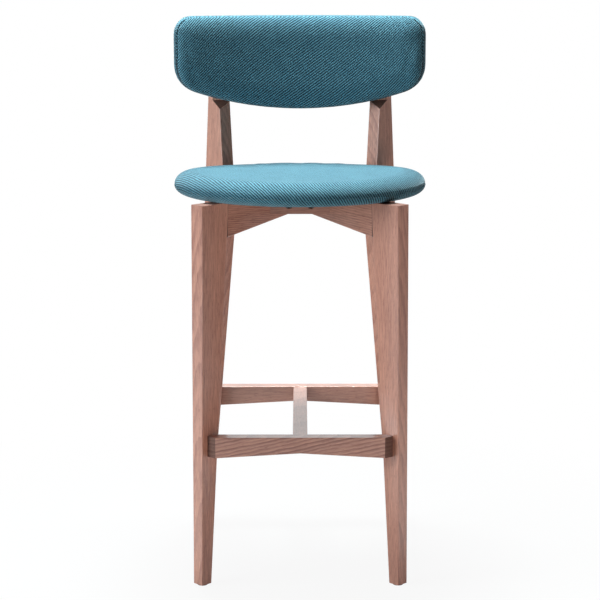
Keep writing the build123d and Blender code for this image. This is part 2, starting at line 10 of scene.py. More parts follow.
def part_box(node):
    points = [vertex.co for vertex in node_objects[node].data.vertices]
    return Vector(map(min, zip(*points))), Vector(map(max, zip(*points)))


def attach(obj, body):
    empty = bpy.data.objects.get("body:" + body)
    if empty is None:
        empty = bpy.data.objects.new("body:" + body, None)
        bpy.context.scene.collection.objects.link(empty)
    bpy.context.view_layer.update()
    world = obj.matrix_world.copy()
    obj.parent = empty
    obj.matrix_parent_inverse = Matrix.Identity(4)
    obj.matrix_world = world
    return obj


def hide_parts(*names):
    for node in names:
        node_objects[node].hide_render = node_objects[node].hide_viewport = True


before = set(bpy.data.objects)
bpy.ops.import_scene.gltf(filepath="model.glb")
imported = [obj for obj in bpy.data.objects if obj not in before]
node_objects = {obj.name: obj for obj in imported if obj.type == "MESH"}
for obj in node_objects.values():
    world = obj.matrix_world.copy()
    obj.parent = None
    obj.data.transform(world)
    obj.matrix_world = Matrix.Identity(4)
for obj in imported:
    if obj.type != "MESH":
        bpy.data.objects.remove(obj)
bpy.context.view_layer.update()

scene = bpy.context.scene

# Seat pad, in metres: two half ovals on the stool's axis
stool_axis_y = 0.00733
seat_low, seat_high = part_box("seat_cover")
seat_half_width = seat_high.x
seat_front_reach = stool_axis_y - seat_low.y
seat_rear_reach = seat_high.y - stool_axis_y
seat_underside = seat_low.z
seat_return = 0.040
seat_recess = 0.0021
seat_roll_inset = 0.0175
seat_roll_level = seat_underside + 0.0185
seat_roll_radius = 0.0178
seat_rim_level = seat_underside + 0.0164
seat_swell_run = 0.040
seat_swell_rise = 0.0273
seat_swell_rear_loss = 0.16
seat_tuck_run = 0.022
# Painted shade on the seat's left and right tips: how far in it reaches and how dark it gets
seat_tip_shade_reach = 0.045
seat_tip_shade = 0.34
seat_voxel = 0.005
seat_pull_back = 0.0012
seat_held_height = 0.006
seat_stuffing = 0.0035
seat_floor_height = 0.004
seat_recess_run = 0.003

# Backrest pad, in metres: a slab bent round an upright line, the sewn seam round its edge
back_low, back_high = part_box("back_cover_rear")
back_curve_radius = 0.700
back_centre_y = back_high.y - back_curve_radius
back_top = back_high.z
back_bottom = back_low.z
back_outer_width = 0.510
back_half_run = back_curve_radius * asin(back_outer_width / 2 / back_curve_radius)
back_bow_radius = 0.668
back_top_corner = 0.038
back_bottom_corner = 0.060
back_edge_depth = 0.036
back_seam_share = 0.82
back_seam_depth = back_seam_share * back_edge_depth
back_roll_inset = 0.016
back_roll_radius = 0.0165
back_centre_level = (back_top + back_bottom) / 2
back_full_depth = 0.050
back_swell_run = 0.046
back_swell_rise = 0.021
back_roll_extra = 0.0085
back_voxel = 0.0045
back_pull_back = 0.001
back_held_depth = 0.012
back_stuffing = 0.003
seam_held_width = 0.003
seam_held_inset = 0.010
seam_groove_depth = 0.0022
seam_groove_width = 0.0030
seam_groove_inset = 0.012
seam_groove_fade = 0.004

# Painted shade along the seam: behind the piping at the ends, at the rim below, none along the top
seam_shade_reach = 0.0052
seam_shade_lead = 0.0036
seam_shade_lag = 0.0050
low_seam_shade_reach = 0.0034
seam_shade_inset = 0.012
seam_shade_upmost = 0.75
seam_shade_fade = 0.3

# Piping: proud of the cloth at the backrest's ends, sunk along its top and bottom
piping_inset = 0.0034
piping_rise = 0.0034
piping_radius = 0.0014
piping_points = 420
piping_proud_from = 0.35
piping_proud_run = 0.4
piping_rib_share = 0.7

# Dust cloth under the seat
dust_gap = 0.0004
dust_lift = 0.0006
dust_thickness = 0.0006
dust_slack = 0.00025
dust_waves = (9, 7)
dust_edge_points = 128
dust_rings = 9
dust_ring_width = 0.1

# Twill: the ribs' spacing and the way they run on each panel
rib_pitch = 0.00475
back_rib_slope = 0.676
back_rib_pull = 2.1
seat_rib_pitch = 0.00445
seat_rib_turn = radians(53)
seat_cloth_ease = 0.55
seat_left_lead = 0.8
seat_right_lead = 0.15

# Working values: when two points are one, frames of stuffing, and the steps and margin of a search
same_point = 1e-6
stuffing_frames = 20
search_steps = 40
search_margin = 0.02
tiny = 1e-9


def only(piece):
    """Deselects everything and makes one piece the active one."""
    bpy.ops.object.select_all(action="DESELECT")
    piece.select_set(True)
    bpy.context.view_layer.objects.active = piece


def copy_of(name, *nodes):
    """A new piece from copies of CAD nodes, joined and with their loose triangles merged."""
    bpy.ops.object.select_all(action="DESELECT")
    copies = []
    for node in nodes:
        piece = bpy.data.objects.new(name, node_objects[node].data.copy())
        scene.collection.objects.link(piece)
        copies.append(piece)
    for piece in copies:
        piece.select_set(True)
    bpy.context.view_layer.objects.active = copies[0]
    if len(copies) > 1:
        bpy.ops.object.join()
    whole = copies[0]
    whole.name = name
    whole.data.materials.clear()
    bpy.ops.object.mode_set(mode="EDIT")
    bpy.ops.mesh.select_all(action="SELECT")
    bpy.ops.mesh.remove_doubles(threshold=same_point)
    bpy.ops.object.mode_set(mode="OBJECT")
    return whole


def places(piece):
    """The piece's points as rows of x, y and z."""
    rows = np.zeros(len(piece.data.vertices) * 3)
    piece.data.vertices.foreach_get("co", rows)
    return rows.reshape(-1, 3)


def put(piece, points):
    """Moves the piece's points to the given rows."""
    piece.data.vertices.foreach_set("co", np.asarray(points, dtype=np.float32).ravel())
    piece.data.update()


def finish_with(piece, kind, **settings):
    """Adds one modifier to the piece and applies it."""
    only(piece)
    modifier = piece.modifiers.new(kind.lower(), kind)
    for name, value in settings.items():
        setattr(modifier, name, value)
    bpy.ops.object.modifier_apply(modifier=modifier.name)


def stuff(piece, held, most):
    """Swells a closed cover with cloth pressure; held points stay, none moves further than most."""
    before = places(piece)
    pinned = piece.vertex_groups.new(name="held")
    pinned.add([int(i) for i in np.flatnonzero(held)], 1.0, "REPLACE")
    cloth = piece.modifiers.new("stuffing", "CLOTH")
    cloth.settings.quality = 6
    cloth.settings.mass = 0.25
    cloth.settings.tension_stiffness = 14
    cloth.settings.compression_stiffness = 14
    cloth.settings.shear_stiffness = 6
    cloth.settings.bending_stiffness = 0.4
    cloth.settings.vertex_group_mass = "held"
    cloth.settings.use_pressure = True
    cloth.settings.uniform_pressure_force = 4
    cloth.settings.effector_weights.gravity = 0
    cloth.collision_settings.use_collision = False
    cloth.point_cache.frame_start = 1
    cloth.point_cache.frame_end = stuffing_frames
    for step in range(1, stuffing_frames + 1):
        scene.frame_set(step)
    swollen = piece.evaluated_get(bpy.context.evaluated_depsgraph_get())
    after = np.zeros(len(swollen.data.vertices) * 3)
    swollen.data.vertices.foreach_get("co", after)
    piece.modifiers.remove(cloth)
    piece.vertex_groups.clear()
    scene.frame_set(1)
    moved = after.reshape(-1, 3) - before
    reach = np.linalg.norm(moved, axis=1, keepdims=True)
    put(piece, before + moved * np.minimum(1, most / np.maximum(reach, tiny)))


def weave_on(piece, across, along, painted_shade):
    """Stores each point's place across and along the cloth's ribs, and how much painted shade darkens it.
    """
    stored = piece.data.attributes.new("weave", "FLOAT_VECTOR", "POINT")
    rows = np.stack([across, along, painted_shade], axis=1)
    stored.data.foreach_set("vector", rows.astype(np.float32).ravel())


def reaching(values, low, high, centre):
    """Stretches values on each side of a centre so that they reach low and high."""
    below = (values - centre) * (low - centre) / (values.min() - centre)
    above = (values - centre) * (high - centre) / (values.max() - centre)
    return centre + np.where(values > centre, above, below)


def swell(inset, run, rise):
    """Height of a quarter oval that rises from a pad's edge to its full depth."""
    short = 1 - np.clip(inset / run, 0, 1)
    return rise * np.sqrt(1 - short ** 2)


def rolled_out(inset, level, roll_inset, roll_radius):
    """Cloth used up by an edge roll, beyond the inset it covers, at a level from the roll's centre."""
    past = roll_inset - inset
    round_edge = roll_radius * np.arctan2(past, level)
    underneath = pi * roll_radius - past
    return np.where(past > 0, round_edge, np.where(level > 0, past, underneath)) - past


def seat_inset(points):
    """Inset of points from the seat's plan outline, and the outline's outward direction there."""
    x = points[:, 0]
    y = points[:, 1] - stool_axis_y
    reach = np.where(y > 0, seat_rear_reach, seat_front_reach)
    least = np.full(len(points), -search_margin)
    most = np.minimum(reach, seat_half_width) - search_margin
    for _ in range(search_steps):
        middle = (least + most) / 2
        outside = (x / (seat_half_width - middle)) ** 2 + (y / (reach - middle)) ** 2 > 1
        most = np.where(outside, middle, most)
        least = np.where(outside, least, middle)
    outward = np.stack([x / (seat_half_width - least) ** 2, y / (reach - least) ** 2], axis=1)
    outward /= np.maximum(np.linalg.norm(outward, axis=1, keepdims=True), tiny)
    return least, outward


def rounded_corner(first, second, radius):
    """The smaller of two distances to neighbouring edges, the corner between them rounded."""
    corner = radius - np.hypot(radius - first, radius - second)
    return np.where((first < radius) & (second < radius), corner, np.minimum(first, second))


def back_inset(run, level):
    """Inset of points from the backrest's outline; run goes round the rear curve, level is up."""
    side = back_half_run - np.abs(run)
    top = back_top - level
    bow = back_bow_radius - np.hypot(run, level - back_bottom - back_bow_radius)
    return rounded_corner(rounded_corner(side, top, back_top_corner), bow, back_bottom_corner)


def back_outward(run, level):
    """Direction, in run and level, that leads straight out of the backrest's outline."""
    step = 1e-4
    across = back_inset(run + step, level) - back_inset(run - step, level)
    up = back_inset(run, level + step) - back_inset(run, level - step)
    outward = -np.stack([across, up], axis=1)
    return outward / np.maximum(np.linalg.norm(outward, axis=1, keepdims=True), tiny)


def back_bent(points):
    """Run round the curve, level and depth from the rear face of points on the backrest."""
    toward = points[:, 1] - back_centre_y
    run = back_curve_radius * np.arctan2(points[:, 0], toward)
    return run, points[:, 2], back_curve_radius - np.hypot(points[:, 0], toward)


def back_placed(run, level, depth):
    """The points in space for a run, level and depth on the backrest."""
    turn = run / back_curve_radius
    radius = back_curve_radius - depth
    return np.stack([radius * np.sin(turn), back_centre_y + radius * np.cos(turn), level], axis=1)


def make_seat_pad():
    """Seat pad: the cover's outer form over foam, its underside sunk inside the turned-in cloth."""
    pad = copy_of("seat_pad", "seat_cover")
    only(pad)
    bpy.ops.object.mode_set(mode="EDIT")
    bpy.ops.mesh.select_all(action="SELECT")
    bpy.ops.mesh.convex_hull(delete_unused=True)
    bpy.ops.object.mode_set(mode="OBJECT")
    finish_with(pad, "REMESH", mode="VOXEL", voxel_size=seat_voxel)
    finish_with(pad, "SMOOTH", factor=0.5, iterations=2)
    finish_with(pad, "DISPLACE", strength=-seat_pull_back, mid_level=0)
    held = places(pad)[:, 2] < seat_underside + seat_held_height
    stuff(pad, held, seat_stuffing)
    finish_with(pad, "SUBSURF", levels=1, render_levels=1)
    points = places(pad)
    points[:, 0] = reaching(points[:, 0], -seat_half_width, seat_half_width, 0)
    points[:, 1] = reaching(points[:, 1], seat_low.y, seat_high.y, stool_axis_y)
    points[:, 2] = reaching(points[:, 2], seat_underside, seat_high.z, seat_rim_level)
    inset, _ = seat_inset(points)
    behind = np.clip((points[:, 1] - stool_axis_y) / seat_rear_reach, 0, 1)
    rise = seat_swell_rise * (1 - seat_swell_rear_loss * behind)
    full = seat_rim_level + swell(inset, seat_swell_run, rise)
    tucked = seat_rim_level - swell(inset, seat_tuck_run, seat_rim_level - seat_underside)
    points[:, 2] = np.maximum(points[:, 2], np.where(points[:, 2] > seat_rim_level, full, tucked))
    low = points[:, 2] < seat_underside + seat_floor_height
    ring = np.clip((inset - seat_return) / seat_recess_run, 0, 1)
    level = seat_underside + seat_recess * ring
    flat = low & (inset > seat_tuck_run)
    points[flat, 2] = level[flat]
    points[:, 2] = np.maximum(points[:, 2], seat_underside)
    put(pad, points)
    inset, outward = seat_inset(points)
    level = points[:, 2] - seat_roll_level
    past = seat_roll_inset - inset
    turned = (past > 0) | (level < 0)
    further = rolled_out(inset, level, seat_roll_inset, seat_roll_radius)
    cloth = points[:, :2] - outward * np.where(turned, past, 0)[:, None]
    cloth[:, 1] = (cloth[:, 1] - stool_axis_y) * seat_cloth_ease
    aside = outward[:, 0] * np.where(outward[:, 0] < 0, seat_left_lead, seat_right_lead)
    lead = np.stack([aside, outward[:, 1]], axis=1)
    lead /= np.maximum(np.linalg.norm(lead, axis=1, keepdims=True), tiny)
    cloth += lead * np.where(turned, further + past, 0)[:, None]
    across = cloth[:, 0] * sin(seat_rib_turn) + cloth[:, 1] * cos(seat_rib_turn)
    along = cloth[:, 0] * cos(seat_rib_turn) - cloth[:, 1] * sin(seat_rib_turn)
    # Painted shade on the seat's left and right tips, passed on with the weave
    tip_shade = seat_tip_shade * outward[:, 0] ** 2 * np.clip(1 - inset / seat_tip_shade_reach, 0, 1) ** 0.5
    weave_on(pad, across * rib_pitch / seat_rib_pitch, along, tip_shade)
    only(pad)
    bpy.ops.object.shade_smooth()
    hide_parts("seat_cover", "seat_foam")
    return pad


def make_back_pad():
    """Backrest pad: front and rear panels of cloth over foam and ply, pulled in at the sewn seam."""
    pad = copy_of("back_pad", "back_cover_front", "back_cover_rear", "back_foam", "back_panel")
    finish_with(pad, "REMESH", mode="VOXEL", voxel_size=back_voxel)
    finish_with(pad, "SMOOTH", factor=0.5, iterations=2)
    finish_with(pad, "DISPLACE", strength=-back_pull_back, mid_level=0)
    run, level, depth = back_bent(places(pad))
    near_seam = np.abs(depth - back_seam_depth) < seam_held_width
    near_seam &= back_inset(run, level) < seam_held_inset
    stuff(pad, (depth < back_held_depth) | near_seam, back_stuffing)
    finish_with(pad, "SUBSURF", levels=1, render_levels=1)
    run, level, depth = back_bent(places(pad))
    run = reaching(run, -back_half_run, back_half_run, 0)
    level = reaching(level, back_bottom, back_top, back_centre_level)
    depth = reaching(depth, 0, back_full_depth, back_edge_depth / 2)
    inset = back_inset(run, level)
    full = back_seam_depth + swell(inset, back_swell_run, back_swell_rise)
    depth = np.where(depth > back_seam_depth, np.maximum(depth, full), depth)
    outward = back_outward(run, level)
    side = np.clip((seam_groove_inset - inset) / seam_groove_fade, 0, 1)
    groove = seam_groove_depth * side * np.exp(-((depth - back_seam_depth) / seam_groove_width) ** 2)
    # Painted shade along the sewn seam, kept with the weave for the twill to darken; the groove above is
    # real shape
    at_end = np.abs(outward[:, 0])
    lead = seam_shade_lead * (1 - at_end) - seam_shade_lag * at_end
    reach = low_seam_shade_reach + (seam_shade_reach - low_seam_shade_reach) * at_end
    painted_shade = np.exp(-((depth - back_seam_depth - lead) / reach) ** 2)
    painted_shade *= np.clip((seam_shade_upmost - outward[:, 1]) / seam_shade_fade, 0, 1) * (inset < seam_shade_inset)
    run = run - outward[:, 0] * groove
    level = level - outward[:, 1] * groove
    put(pad, back_placed(run, level, depth))
    inset = back_inset(run, level)
    middle = back_edge_depth / 2
    rear = rolled_out(inset, middle - depth, back_roll_inset, back_roll_radius)
    facing = depth > back_seam_depth
    drop = np.clip(1 - (depth - back_seam_depth) / back_swell_rise, 0, 1)
    front = back_roll_extra * drop ** 2
    cloth_run = np.where(facing, run + outward[:, 0] * front, -run - outward[:, 0] * rear)
    cloth_level = level + outward[:, 1] * np.where(facing, front, rear)
    rib_turn = np.arctan(back_rib_slope)
    pull = np.where(facing, back_rib_pull * cloth_run ** 3, 0)
    across = np.cos(rib_turn) * (cloth_level - back_rib_slope * cloth_run - pull)
    along = np.cos(rib_turn) * cloth_run + np.sin(rib_turn) * cloth_level
    weave_on(pad, across, along, painted_shade)
    only(pad)
    bpy.ops.object.shade_smooth()
    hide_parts("back_cover_front", "back_cover_rear", "back_foam")
    return pad


def piping_under(run, level):
    """Inset of the piping's middle line from the backrest's outline."""
    at_end = np.abs(back_outward(run, level)[:, 0])
    return piping_inset - piping_rise * np.clip((at_end - piping_proud_from) / piping_proud_run, 0, 1)


def make_back_piping():
    """The piping sewn into the backrest's seam: a thin cord covered in the same twill."""
    bpy.ops.object.select_all(action="DESELECT")
    bpy.ops.mesh.primitive_circle_add(vertices=piping_points, radius=1)
    piping = bpy.context.object
    piping.name = "back_piping"
    turn = np.arctan2(places(piping)[:, 1], places(piping)[:, 0])
    reach_run = np.cos(turn) * back_half_run
    reach_level = np.sin(turn) * (back_top - back_bottom)
    least = np.zeros(len(turn))
    most = np.full(len(turn), 1.5)
    for _ in range(search_steps):
        share = (least + most) / 2
        run = share * reach_run
        level = back_centre_level + share * reach_level
        inside = back_inset(run, level) > piping_under(run, level)
        least = np.where(inside, share, least)
        most = np.where(inside, most, share)
    depth = np.full(len(turn), back_seam_depth)
    put(piping, back_placed(least * reach_run, back_centre_level + least * reach_level, depth))
    only(piping)
    bpy.ops.object.convert(target="CURVE")
    piping.data.bevel_depth = piping_radius
    piping.data.bevel_resolution = 4
    bpy.ops.object.convert(target="MESH")
    bpy.ops.object.shade_smooth()
    run, level, depth = back_bent(places(piping))
    across = piping_rib_share * (run + level)
    along = piping_rib_share * (run - level)
    weave_on(piping, across, along, np.zeros(len(run)))
    return piping


def make_dust_sheet():
    """The black cloth under the seat, stretched flat inside the turned-in cover."""
    bpy.ops.object.select_all(action="DESELECT")
    bpy.ops.mesh.primitive_circle_add(vertices=dust_edge_points, radius=1, fill_type="NGON")
    sheet = bpy.context.object
    sheet.name = "seat_dust_sheet"
    bpy.ops.object.mode_set(mode="EDIT")
    for _ in range(dust_rings):
        bpy.ops.mesh.inset(thickness=dust_ring_width)
    bpy.ops.object.mode_set(mode="OBJECT")
    points = places(sheet)
    inside = seat_return + dust_gap
    half = seat_half_width - inside
    front = seat_front_reach - inside
    rear = seat_rear_reach - inside
    slack = dust_slack * np.cos(dust_waves[0] * points[:, 0]) * np.cos(dust_waves[1] * points[:, 1])
    points[:, 2] = seat_underside + dust_lift + slack
    points[:, 0] *= half
    points[:, 1] = stool_axis_y + points[:, 1] * np.where(points[:, 1] > 0, rear, front)
    put(sheet, points)
    finish_with(sheet, "SOLIDIFY", thickness=dust_thickness, offset=0)
    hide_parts("seat_dust_cover")
    return sheet


def socket_of(node, name):
    """The node's input with this name that is in use."""
    for socket in node.inputs:
        if socket.name == name and socket.enabled:
            return socket
    raise KeyError(name)


class Nodes:
    """Adds nodes to a material or a node group and joins them up."""

    def __init__(self, tree):
        self.tree = tree

    def add(self, kind, inputs=None, **settings):
        node = self.tree.nodes.new(kind)
        for name, value in settings.items():
            setattr(node, name, value)
        for name, value in (inputs or {}).items():
            socket = node.inputs[name] if isinstance(name, int) else socket_of(node, name)
            if isinstance(value, bpy.types.NodeSocket):
                self.tree.links.new(value, socket)
            else:
                socket.default_value = value
        return node

    def math(self, operation, first, second=0.0, third=0.0):
        return self.add("ShaderNodeMath", {0: first, 1: second, 2: third}, operation=operation).outputs[0]

    def mixed(self, share, first, second, blend="MIX"):
        node = self.add("ShaderNodeMix", data_type="RGBA", blend_type=blend)
        for name, value in (("Factor", share), ("A", first), ("B", second)):
            socket = socket_of(node, name)
            if isinstance(value, bpy.types.NodeSocket):
                self.tree.links.new(value, socket)
            else:
                socket.default_value = value
        return next(out for out in node.outputs if out.enabled)

    def noise(self, vector, scale, detail=2.0, roughness=0.5):
        node = self.add(
            "ShaderNodeTexNoise",
            {"Vector": vector, "Scale": scale, "Detail": detail, "Roughness": roughness},
        )
        return node.outputs[0]

    def drawn_out(self, vector, share, scale, detail, roughness):
        """Noise drawn out along Z, the way of the grain."""
        longer = self.add("ShaderNodeVectorMath", {0: vector, 1: (1, 1, share)}, operation="MULTIPLY")
        return self.noise(longer.outputs[0], scale, detail, roughness)

    def swayed(self, base, noise, weight):
        """A value moved up and down by a noise, by a weight."""
        return self.math("MULTIPLY_ADD", self.math("SUBTRACT", noise, 0.5), weight, base)

    def held_in(self, value):
        """A value kept from 0 to 1."""
        return self.math("MAXIMUM", self.math("MINIMUM", value, 1.0), 0.0)

    def between(self, value, low, high, to_low=0.0, to_high=1.0):
        node = self.add("ShaderNodeMapRange", interpolation_type="SMOOTHSTEP")
        self.tree.links.new(value, node.inputs[0])
        for place, number in enumerate((low, high, to_low, to_high), start=1):
            node.inputs[place].default_value = number
        return node.outputs[0]


def new_group(name, inputs, outputs):
    """An empty shader node group with named inputs and outputs."""
    group = bpy.data.node_groups.new(name, "ShaderNodeTree")
    for label, kind, value in inputs:
        socket = group.interface.new_socket(label, in_out="INPUT", socket_type=kind)
        if value is not None:
            socket.default_value = value
    for label, kind in outputs:
        group.interface.new_socket(label, in_out="OUTPUT", socket_type=kind)
    nodes = Nodes(group)
    entry = nodes.add("NodeGroupInput")
    leave = nodes.add("NodeGroupOutput")
    return group, nodes, entry.outputs, leave.inputs


# Figures of a stained board: share of their length along the grain, fineness, detail and roughness
board_figures = {
    "sway": (0.22, 16.0, 2.0, 0.5),
    "ripple": (0.6, 55.0, 2.0, 0.5),
    "fibres": (0.075, 420.0, 3.0, 0.6),
    "hairs": (0.02, 1400.0, 2.0, 0.5),
    "pores": (0.055, 1700.0, 0.0, 0.5),
    "cloud": (0.35, 11.0, 2.0, 0.5),
}
ripple_share = 0.22
ring_tilt = 0.05
middle_tone = 0.56
fibre_tone = 0.95
hair_tone = 0.5
cloud_tone = 0.6
pore_tone = 0.35
end_grain_share = 0.74
end_grain_stain = (0.05, 0.024, 0.018, 1)
joint_near = 0.001
joint_far = 0.003
joint_share = 0.85
joint_stain = (0.035, 0.016, 0.012, 1)
board_roughness = 0.36
fibre_roughness = 0.16
pore_roughness = 0.2
end_grain_roughness = 0.4
end_grain_coat_loss = 0.95
fibre_height = 0.6
line_height = -0.25


def grain_group():
    """Stained board: growth lines, long fibres, pores and a cloudy stain; the grain runs along Z."""
    group, nodes, entry, leave = new_group(
        "stained grain",
        [
            ("Place", "NodeSocketVector", None),
            ("Facing", "NodeSocketVector", None),
            ("Line Spacing", "NodeSocketFloat", 0.004),
            ("Line Strength", "NodeSocketFloat", 0.5),
            ("Waviness", "NodeSocketFloat", 0.01),
            ("Joint Start", "NodeSocketFloat", -9.0),
            ("Joint End", "NodeSocketFloat", 9.0),
            ("Dark", "NodeSocketColor", (0.2, 0.1, 0.07, 1)),
            ("Light", "NodeSocketColor", (0.5, 0.3, 0.2, 1)),
        ],
        [
            ("Color", "NodeSocketColor"),
            ("Roughness", "NodeSocketFloat"),
            ("Height", "NodeSocketFloat"),
            ("Coat", "NodeSocketFloat"),
        ],
    )
    place = entry["Place"]
    figures = {name: nodes.drawn_out(place, *figure) for name, figure in board_figures.items()}
    waviness = entry["Waviness"]
    sway = nodes.math("MULTIPLY", nodes.math("SUBTRACT", figures["sway"], 0.5), waviness)
    small_waviness = nodes.math("MULTIPLY", waviness, ripple_share)
    ripple = nodes.math("MULTIPLY", nodes.math("SUBTRACT", figures["ripple"], 0.5), small_waviness)
    apart = nodes.add("ShaderNodeSeparateXYZ", {0: place}).outputs
    square = nodes.math("ADD", nodes.math("POWER", apart[0], 2.0), nodes.math("POWER", apart[1], 2.0))
    distance = nodes.math("ADD", nodes.math("ADD", nodes.math("SQRT", square), sway), ripple)
    distance = nodes.math("MULTIPLY_ADD", apart[2], ring_tilt, distance)
    rings = nodes.math("DIVIDE", distance, entry["Line Spacing"])
    ring = nodes.math("FRACT", rings)
    rise = nodes.between(ring, 0.15, 0.86)
    fall = nodes.between(ring, 0.9, 1.0, 1.0, 0.0)
    line = nodes.math("MULTIPLY", rise, fall)
    which = nodes.math("FLOOR", rings)
    uneven = nodes.add("ShaderNodeTexWhiteNoise", {"W": which}, noise_dimensions="1D").outputs[0]
    line = nodes.math("MULTIPLY", line, nodes.math("MULTIPLY_ADD", uneven, 0.7, 0.45))
    fibres = figures["fibres"]
    pores = nodes.between(figures["pores"], 0.66, 0.76)
    tone = nodes.swayed(middle_tone, fibres, fibre_tone)
    tone = nodes.swayed(tone, figures["hairs"], hair_tone)
    tone = nodes.swayed(tone, figures["cloud"], cloud_tone)
    tone = nodes.math("SUBTRACT", tone, nodes.math("MULTIPLY", line, entry["Line Strength"]))
    tone = nodes.math("SUBTRACT", tone, nodes.math("MULTIPLY", pores, pore_tone))
    colour = nodes.mixed(nodes.held_in(tone), entry["Dark"], entry["Light"])
    along_grain = nodes.add("ShaderNodeSeparateXYZ", {0: entry["Facing"]}).outputs[2]
    end_grain = nodes.between(nodes.math("ABSOLUTE", along_grain), 0.35, 0.7)
    colour = nodes.mixed(nodes.math("MULTIPLY", end_grain, end_grain_share), colour, end_grain_stain)
    to_start = nodes.math("SUBTRACT", apart[2], entry["Joint Start"])
    to_end = nodes.math("SUBTRACT", entry["Joint End"], apart[2])
    nearest = nodes.math("MINIMUM", to_start, to_end)
    joint = nodes.between(nearest, joint_near, joint_far, joint_share, 0.0)
    colour = nodes.mixed(joint, colour, joint_stain)
    rough = nodes.swayed(board_roughness, fibres, fibre_roughness)
    rough = nodes.math("MULTIPLY_ADD", pores, pore_roughness, rough)
    rough = nodes.math("MULTIPLY_ADD", end_grain, end_grain_roughness, rough)
    coat = nodes.math("MULTIPLY_ADD", end_grain, -end_grain_coat_loss, 1.0)
    lines = nodes.math("MULTIPLY", line, line_height)
    height = nodes.math("SUBTRACT", nodes.math("MULTIPLY_ADD", fibres, fibre_height, lines), pores)
    nodes.tree.links.new(colour, leave["Color"])
    nodes.tree.links.new(rough, leave["Roughness"])
    nodes.tree.links.new(height, leave["Height"])
    nodes.tree.links.new(coat, leave["Coat"])
    return group


# Twill: how far ribs wander, a stitch's length and slant in ribs, and what beads, fuzz and chance add
rib_wander = 0.45
stitch_length = 0.8
stitch_slant = 0.9
stitch_step = 0.37
crest_power = 0.8
bead_height = 0.14
fuzz_height = 0.25
chance_pale = 0.3
patch_pale = 0.8
patch_least = 0.35
# Painted shade from the weave's third value: how far it darkens toward the valley colour, and how far it
# sinks the relief
painted_shade_share = 0.94
painted_shade_sink = -0.8
twill_roughness = 0.8
fuzz_roughness = 0.15


def twill_group():
    """Ribbed twill: ribs of yarn with darker valleys that are partly painted shade, and pale crests that
    are partly a painted highlight, from distances across and along the ribs.
    """
    group, nodes, entry, leave = new_group(
        "twill",
        [
            ("Weave", "NodeSocketVector", None),
            ("Pitch", "NodeSocketFloat", rib_pitch),
            ("Valley Yarn And Shade", "NodeSocketColor", (0.01, 0.05, 0.08, 1)),
            ("Yarn", "NodeSocketColor", (0.05, 0.2, 0.3, 1)),
            ("Pale Yarn And Highlight", "NodeSocketColor", (0.1, 0.35, 0.45, 1)),
        ],
        [("Color", "NodeSocketColor"), ("Roughness", "NodeSocketFloat"), ("Height", "NodeSocketFloat")],
    )
    weave = entry["Weave"]
    wander = nodes.noise(weave, 130.0, 2.0)
    apart = nodes.add("ShaderNodeSeparateXYZ", {0: weave}).outputs
    across = nodes.math("DIVIDE", apart[0], entry["Pitch"])
    across = nodes.swayed(across, wander, rib_wander)
    rib = nodes.math("FRACT", across)
    number = nodes.math("FLOOR", across)
    along = nodes.math("DIVIDE", apart[1], nodes.math("MULTIPLY", entry["Pitch"], stitch_length))
    along = nodes.math("ADD", along, nodes.math("MULTIPLY", rib, stitch_slant))
    along = nodes.math("MULTIPLY_ADD", number, stitch_step, along)
    stitch = nodes.math("FRACT", along)
    crest = nodes.math("SINE", nodes.math("MULTIPLY", rib, pi))
    bead = nodes.math("SINE", nodes.math("MULTIPLY", stitch, pi))
    which = nodes.add("ShaderNodeCombineXYZ", {0: number, 1: nodes.math("FLOOR", along)}).outputs[0]
    chance = nodes.add("ShaderNodeTexWhiteNoise", {"Vector": which}, noise_dimensions="2D").outputs[0]
    fuzz = nodes.noise(weave, 1500.0, 3.0, 0.7)
    patch = nodes.noise(weave, 28.0, 2.0)
    beaded = nodes.math("MULTIPLY_ADD", bead, bead_height, 1 - bead_height)
    height = nodes.math("MULTIPLY", nodes.math("POWER", crest, crest_power), beaded)
    height = nodes.swayed(height, fuzz, fuzz_height)
    # Valleys darker than the yarn: partly the yarn's colour, partly painted shade in the grooves
    body = nodes.mixed(nodes.between(height, 0.3, 0.8), entry["Valley Yarn And Shade"], entry["Yarn"])
    patches = nodes.math("MULTIPLY", nodes.math("ADD", patch, patch_least), patch_pale)
    pale_and_highlight = nodes.math("MULTIPLY_ADD", chance, chance_pale, patches)
    # Random pale stitches show only on the crests, which adds a painted highlight along each rib
    pale_and_highlight = nodes.math("MULTIPLY", pale_and_highlight, nodes.between(height, 0.62, 1.0))
    colour = nodes.mixed(nodes.held_in(pale_and_highlight), body, entry["Pale Yarn And Highlight"])
    # Painted shade from the weave's third value, along the backrest's seam and on the seat's tips
    painted_shade = nodes.held_in(apart[2])
    colour = nodes.mixed(nodes.math("MULTIPLY", painted_shade, painted_shade_share), colour, entry["Valley Yarn And Shade"])
    height = nodes.math("MULTIPLY_ADD", painted_shade, painted_shade_sink, height)
    rough = nodes.math("MULTIPLY_ADD", fuzz, fuzz_roughness, twill_roughness)
    nodes.tree.links.new(colour, leave["Color"])
    nodes.tree.links.new(rough, leave["Roughness"])
    nodes.tree.links.new(height, leave["Height"])
    return group


